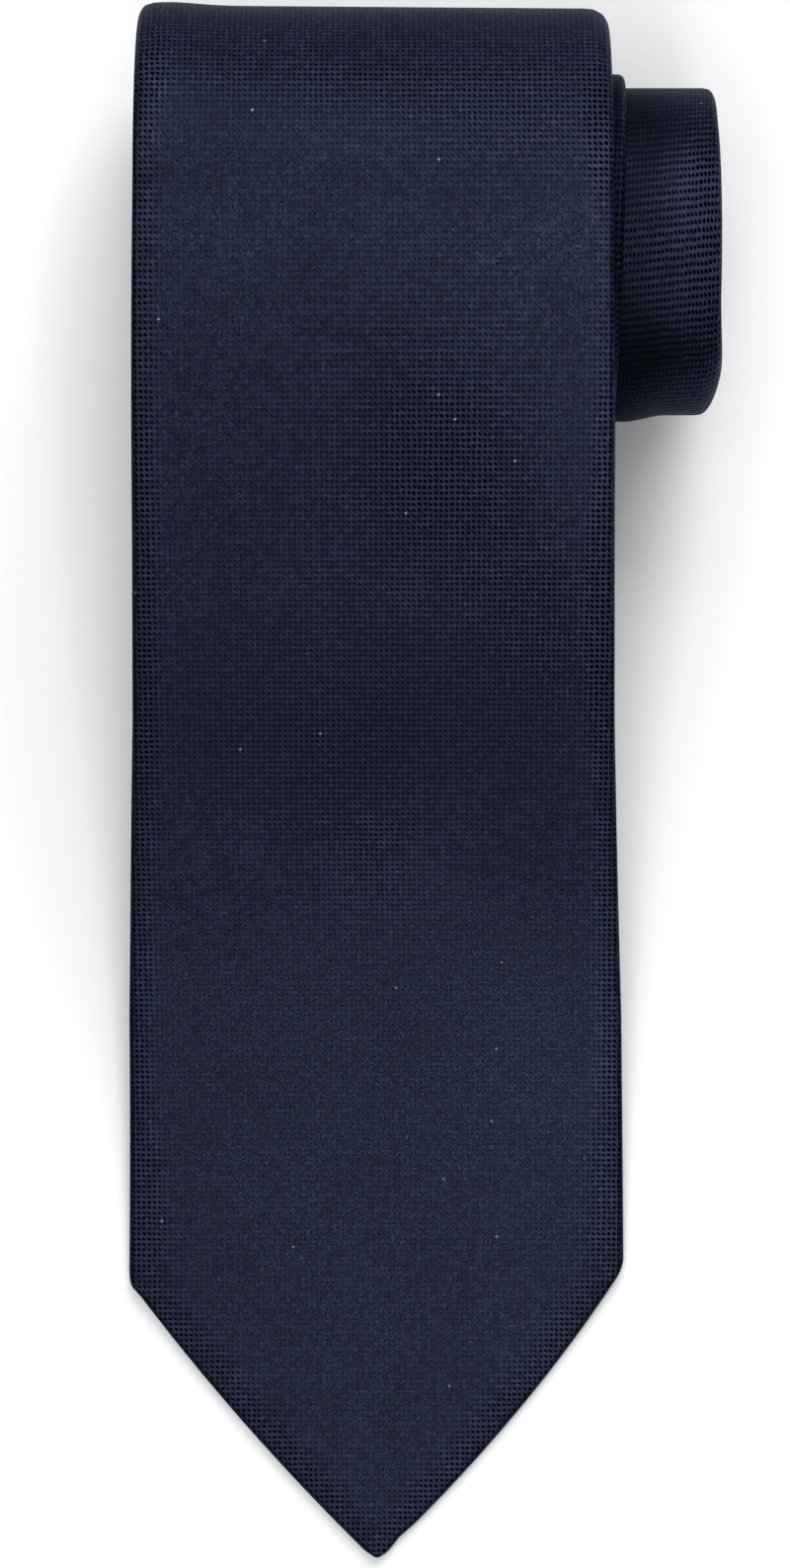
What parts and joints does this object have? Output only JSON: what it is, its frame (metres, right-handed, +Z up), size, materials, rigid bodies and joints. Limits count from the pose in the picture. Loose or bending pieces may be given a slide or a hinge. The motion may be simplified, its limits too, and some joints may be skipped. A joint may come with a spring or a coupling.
{
  "type": "necktie",
  "caption": "Navy woven necktie lying face up, its tail and neck rolled up behind the pointed wide blade, which slopes from the roll down to the table.",
  "frame": {"origin": "on the table, under the middle of the object's box", "axes": "+Z up from the table, +Y from the blade's tip towards the roll, +X towards the side where the inner turns stick out"},
  "size_m": [0.1006, 0.2633, 0.0628],
  "materials": {
    "tie_cloth": "navy silk with a fine basket weave and a soft sheen",
    "interlining": "brushed wool-blend interlining, off-white",
    "tipping": "navy satin lining",
    "thread": "navy sewing silk",
    "label": "blank woven label"
  },
  "bodies": {
    "roll": {"blade_panel_rolled": "tie_cloth", "neck_panel": "tie_cloth", "tail_panel": "tie_cloth", "interlining_rolled": "interlining", "tail_tipping": "tipping", "slip_stitch_rolled": "thread", "tail_bar_tack": "thread", "blade_neck_seam": "thread", "neck_tail_seam": "thread", "care_label": "label"},
    "blade": {"blade_panel": "tie_cloth", "interlining_blade": "interlining", "blade_tipping": "tipping", "slip_stitch_blade": "thread", "blade_bar_tack": "thread", "keeper_loop": "tie_cloth", "keeper_stitches": "thread", "brand_label": "label", "label_stitches": "thread"}
  },
  "joints": [
    {"name": "blade_lift", "type": "hinge", "parent": "roll", "child": "blade", "pos_m": [-0.00775, 0.09704, 0.0628], "axis": [-1, 0, 0], "range_deg": [0, 90]}
  ]
}
